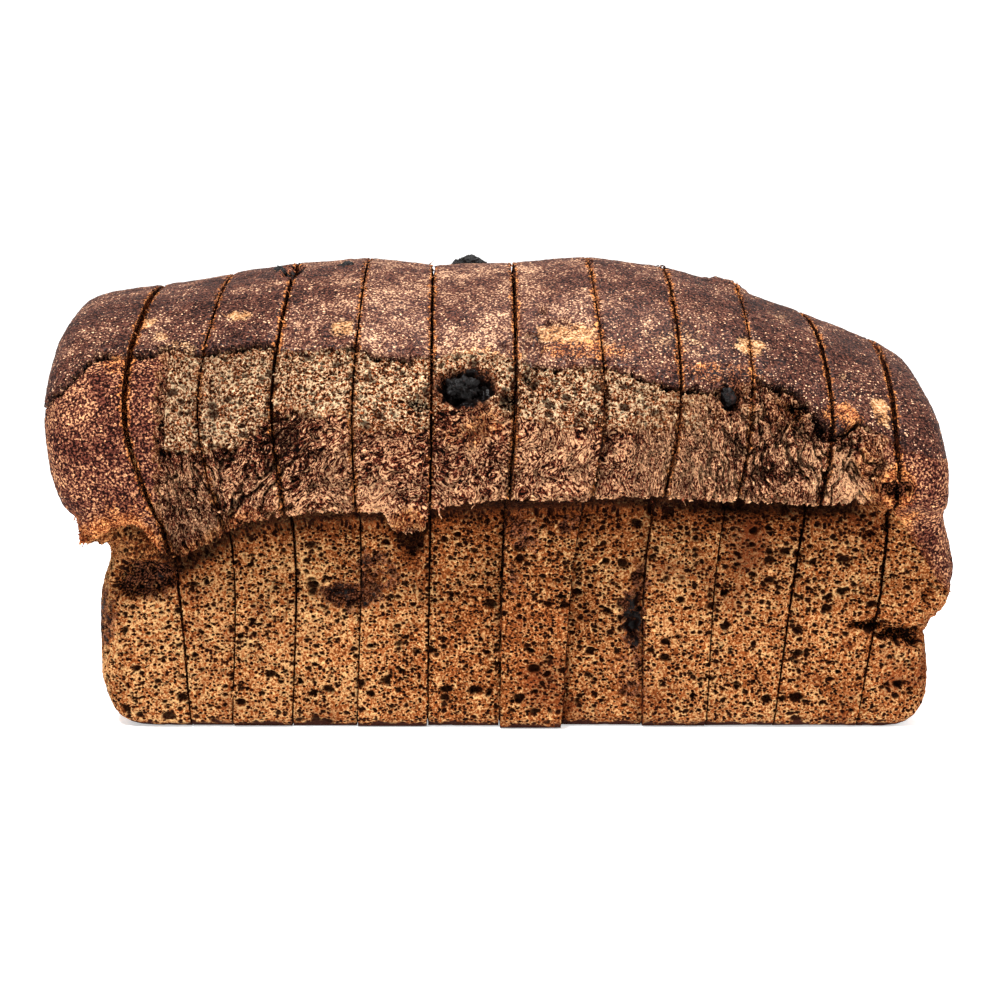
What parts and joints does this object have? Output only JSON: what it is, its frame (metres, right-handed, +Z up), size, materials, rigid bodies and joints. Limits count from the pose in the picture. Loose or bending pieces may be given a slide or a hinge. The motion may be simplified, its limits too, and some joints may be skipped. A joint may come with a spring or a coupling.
{
  "type": "tin loaf",
  "caption": "Dark chocolate tin loaf with a rolled crown, cut into slices that still stand together as one loaf.",
  "frame": {"origin": "middle of the loaf's bounding box, on the surface it stands on", "axes": "+X along the loaf towards its low end, +Y from the front to the back, +Z up"},
  "size_m": [0.2256, 0.127, 0.118],
  "materials": {
    "bread": "baked chocolate dough: satin dark brown crust, torn tan crumb below it, open brown crumb on the foot",
    "chocolate": "dark chocolate that has melted and set again, half gloss"
  },
  "bodies": {
    "root": {"heel_left": "bread", "slice_02": "bread", "slice_03": "bread", "slice_04": "bread", "slice_05": "bread", "slice_06": "bread", "slice_07": "bread", "slice_08": "bread", "slice_09": "bread", "slice_10": "bread", "slice_11": "bread", "heel_right": "bread", "chocolate_chunk_crest": "chocolate", "chocolate_chunk_shoulder": "chocolate", "chocolate_chunk_left_crest": "chocolate", "chocolate_chunk_break": "chocolate", "chocolate_chunk_right_break": "chocolate"}
  },
  "joints": []
}
